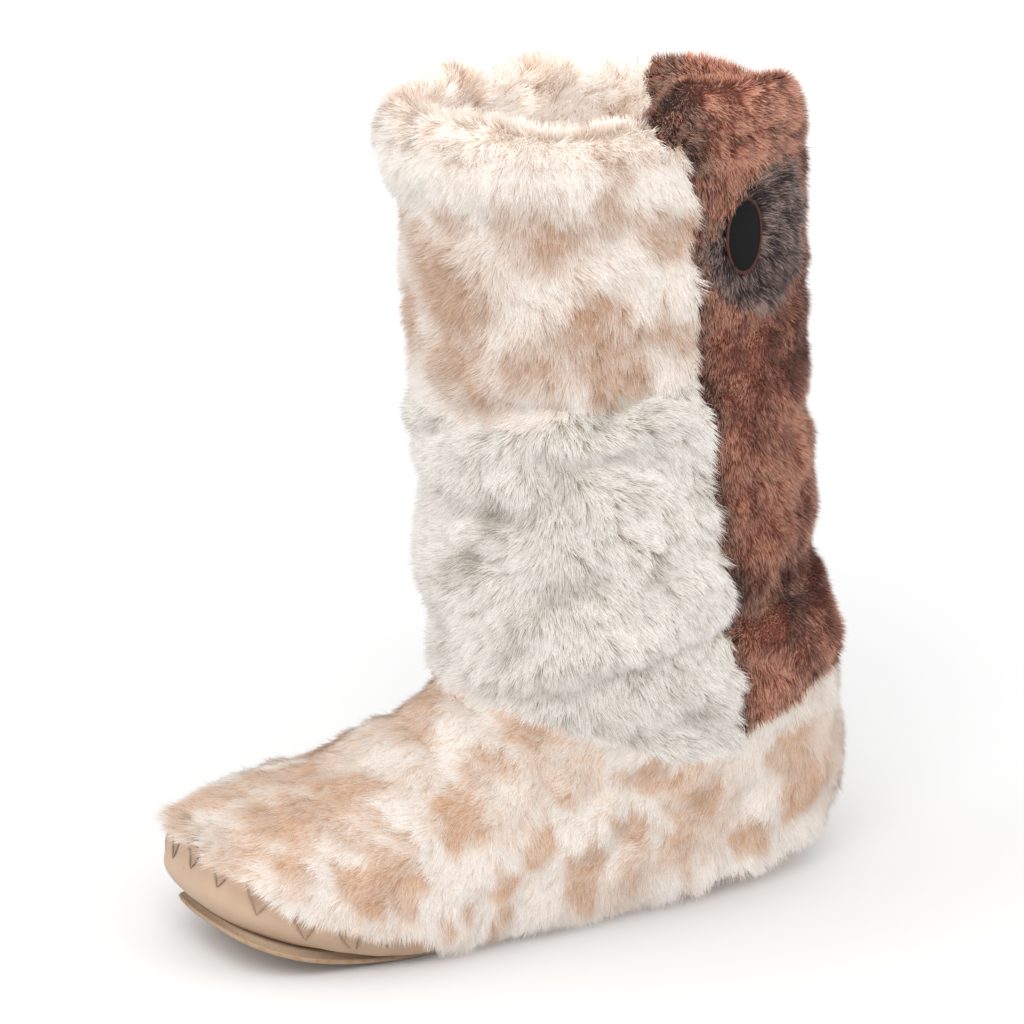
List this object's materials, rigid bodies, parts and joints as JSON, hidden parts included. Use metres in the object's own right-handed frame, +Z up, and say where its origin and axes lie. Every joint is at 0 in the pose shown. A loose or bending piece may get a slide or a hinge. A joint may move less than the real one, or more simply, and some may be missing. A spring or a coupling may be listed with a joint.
{
  "type": "slipper boot",
  "caption": "Mid-calf slipper boot of pieced long-pile fur panels on a soft moccasin sole, with a rolled fur collar and a plain oval badge.",
  "frame": {"origin": "on the floor under the middle of the heel seat", "axes": "+X to the toe, +Y to the boot's outer side, +Z up the shaft"},
  "size_m": [0.2695, 0.1425, 0.3051],
  "materials": {
    "outsole": "beige flexible tread sheet",
    "tray_leather": "smooth tan leather",
    "insole_fleece": "short fleece on a padded board",
    "lining_fleece": "short cream fleece",
    "spotted_fur": "cream long pile with tan spots",
    "frost_fur": "off-white long pile with grey roots",
    "cream_fur": "cream long pile with tan shading",
    "russet_fur": "reddish brown long pile with dark tips",
    "charcoal_fur": "dark grey-brown pile",
    "badge_leather": "dark leather, plain"
  },
  "bodies": {
    "root": {"outsole": "outsole", "sole_tray": "tray_leather", "insole": "insole_fleece", "upper": "lining_fleece", "fur_foot": "spotted_fur", "fur_shaft_front": "frost_fur", "fur_shaft_top": "cream_fur", "fur_shaft_back": "russet_fur", "fur_patch": "charcoal_fur", "badge": "badge_leather"}
  },
  "joints": []
}
